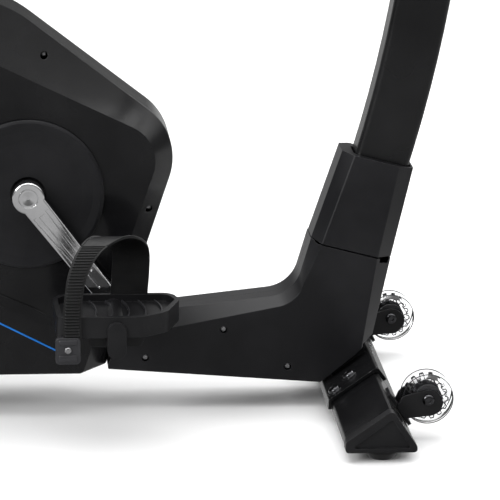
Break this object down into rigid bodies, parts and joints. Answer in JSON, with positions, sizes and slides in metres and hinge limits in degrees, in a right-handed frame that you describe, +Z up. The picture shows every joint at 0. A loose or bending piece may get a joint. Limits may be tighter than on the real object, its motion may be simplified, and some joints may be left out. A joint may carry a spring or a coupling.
{
  "type": "recumbent exercise bike",
  "caption": "Step-through recumbent exercise bike with a curved console mast, bevelled drive housing, sliding padded seat with backrest and clear transport wheels.",
  "frame": {"origin": "on the floor, under the middle of the machine's bounding box", "axes": "+X the way the rider faces, towards the mast; +Y the rider's left; +Z up"},
  "size_m": [1.5918, 0.558, 1.3222],
  "materials": {
    "housing_plastic": "gloss black moulded ABS",
    "cover_plastic": "semi-gloss black moulded ABS",
    "dark_plastic": "satin black nylon",
    "accent_blue": "blue trim line",
    "black_steel": "black powder coat",
    "chrome": "polished chrome",
    "bright_steel": "bright steel",
    "cast_iron": "turned grey iron",
    "rail_aluminium": "anodised silver",
    "black_rubber": "black rubber",
    "clear_tyre": "clear polyurethane",
    "clear_core": "clear moulded core",
    "foam_grip": "black foam",
    "upholstery": "black coated fabric (leatherette) over foam",
    "screen_glass": "dark display window",
    "button_grey": "grey keys"
  },
  "bodies": {
    "frame": {"frame_tube": "black_steel", "drive_mount": "black_steel", "seat_struts": "black_steel", "seat_rail": "rail_aluminium", "front_beam": "black_steel", "rear_beam": "black_steel", "beam_caps": "dark_plastic", "beam_saddles": "black_steel", "floor_pads": "black_rubber", "frame_bolts": "bright_steel", "wheel_brackets": "dark_plastic", "housing_right": "housing_plastic", "housing_left": "housing_plastic", "crank_discs": "cover_plastic", "accent_stripes": "accent_blue", "frame_cover_right": "cover_plastic", "frame_cover_left": "cover_plastic", "mast_boot": "cover_plastic", "cover_screws": "bright_steel", "power_inlet": "dark_plastic", "mast_tube": "black_steel", "handlebar": "black_steel", "handlebar_grips": "foam_grip", "handlebar_clamp": "dark_plastic", "console_shell": "cover_plastic", "console_screen": "screen_glass", "console_neck": "dark_plastic", "crank_bearings": "bright_steel", "drive_belt": "black_rubber", "idler_arm": "bright_steel", "resistance_motor": "dark_plastic"},
    "crankset": {"crank_arm_right": "chrome", "crank_arm_left": "chrome", "crank_axle": "bright_steel", "crank_caps": "chrome", "drive_pulley": "dark_plastic", "pedal_spindles": "bright_steel"},
    "pedal_r": {"pedal_right": "dark_plastic", "pedal_strap_right": "black_rubber"},
    "pedal_l": {"pedal_left": "dark_plastic", "pedal_strap_left": "black_rubber"},
    "flywheel": {"flywheel": "cast_iron", "pulley_shaft": "bright_steel"},
    "idler": {"idler_wheel": "dark_plastic"},
    "magnet": {"magnet_arm": "bright_steel"},
    "roller_r": {"wheel_tyre_right": "clear_tyre", "wheel_core_right": "clear_core"},
    "roller_l": {"wheel_tyre_left": "clear_tyre", "wheel_core_left": "clear_core"},
    "seat": {"seat_carriage": "black_steel", "seat_pan": "dark_plastic", "seat_cushion": "upholstery", "backrest_shell": "dark_plastic", "backrest_cushion": "upholstery", "side_handles": "black_steel", "side_grips": "foam_grip"},
    "seat_lever": {"seat_lever": "dark_plastic"},
    "button_down": {"button_down": "button_grey"},
    "button_start": {"button_start": "button_grey"},
    "button_up": {"button_up": "button_grey"}
  },
  "joints": [
    {"name": "crank_spin", "type": "hinge", "parent": "frame", "child": "crankset", "pos_m": [0.2465, 0, 0.29], "axis": [0, 1, 0], "continuous": true},
    {"name": "flywheel_spin", "type": "hinge", "parent": "frame", "child": "flywheel", "pos_m": [0.0415, 0, 0.32], "axis": [0, 1, 0], "continuous": true},
    {"name": "idler_spin", "type": "hinge", "parent": "frame", "child": "idler", "pos_m": [0.0937, 0, 0.23636], "axis": [0, 1, 0], "continuous": true},
    {"name": "pedal_right_spin", "type": "hinge", "parent": "crankset", "child": "pedal_r", "pos_m": [0.34999, 0, 0.15513], "axis": [0, 1, 0], "continuous": true},
    {"name": "pedal_left_spin", "type": "hinge", "parent": "crankset", "child": "pedal_l", "pos_m": [0.14301, 0, 0.42487], "axis": [0, 1, 0], "continuous": true},
    {"name": "magnet_swing", "type": "hinge", "parent": "frame", "child": "magnet", "pos_m": [0.1205, 0, 0.226], "axis": [0, 1, 0], "range_deg": [-8, 0]},
    {"name": "roller_right_spin", "type": "hinge", "parent": "frame", "child": "roller_r", "pos_m": [0.7339, -0.175, 0.0547], "axis": [0, 1, 0], "continuous": true},
    {"name": "roller_left_spin", "type": "hinge", "parent": "frame", "child": "roller_l", "pos_m": [0.7339, 0.175, 0.0547], "axis": [0, 1, 0], "continuous": true},
    {"name": "seat_slide", "type": "slide", "parent": "frame", "child": "seat", "axis": [0.9945, 0, -0.1045], "range_m": [-0.09, 0.1]},
    {"name": "seat_lever_lift", "type": "hinge", "parent": "seat", "child": "seat_lever", "pos_m": [-0.35591, -0.035, 0.43901], "axis": [0, 1, 0], "range_deg": [-14, 0], "stiffness_Nm_per_rad": 1.5},
    {"name": "button_down_press", "type": "slide", "parent": "frame", "child": "button_down", "axis": [-0.8192, 0, 0.5736], "range_m": [-0.0015, 0], "stiffness_N_per_m": 800},
    {"name": "button_start_press", "type": "slide", "parent": "frame", "child": "button_start", "axis": [-0.8192, 0, 0.5736], "range_m": [-0.0015, 0], "stiffness_N_per_m": 800},
    {"name": "button_up_press", "type": "slide", "parent": "frame", "child": "button_up", "axis": [-0.8192, 0, 0.5736], "range_m": [-0.0015, 0], "stiffness_N_per_m": 800}
  ],
  "couplings": [
    {"joint": "flywheel_spin", "follows": "crank_spin", "ratio": 6.3889},
    {"joint": "idler_spin", "follows": "crank_spin", "ratio": -7.6667}
  ]
}
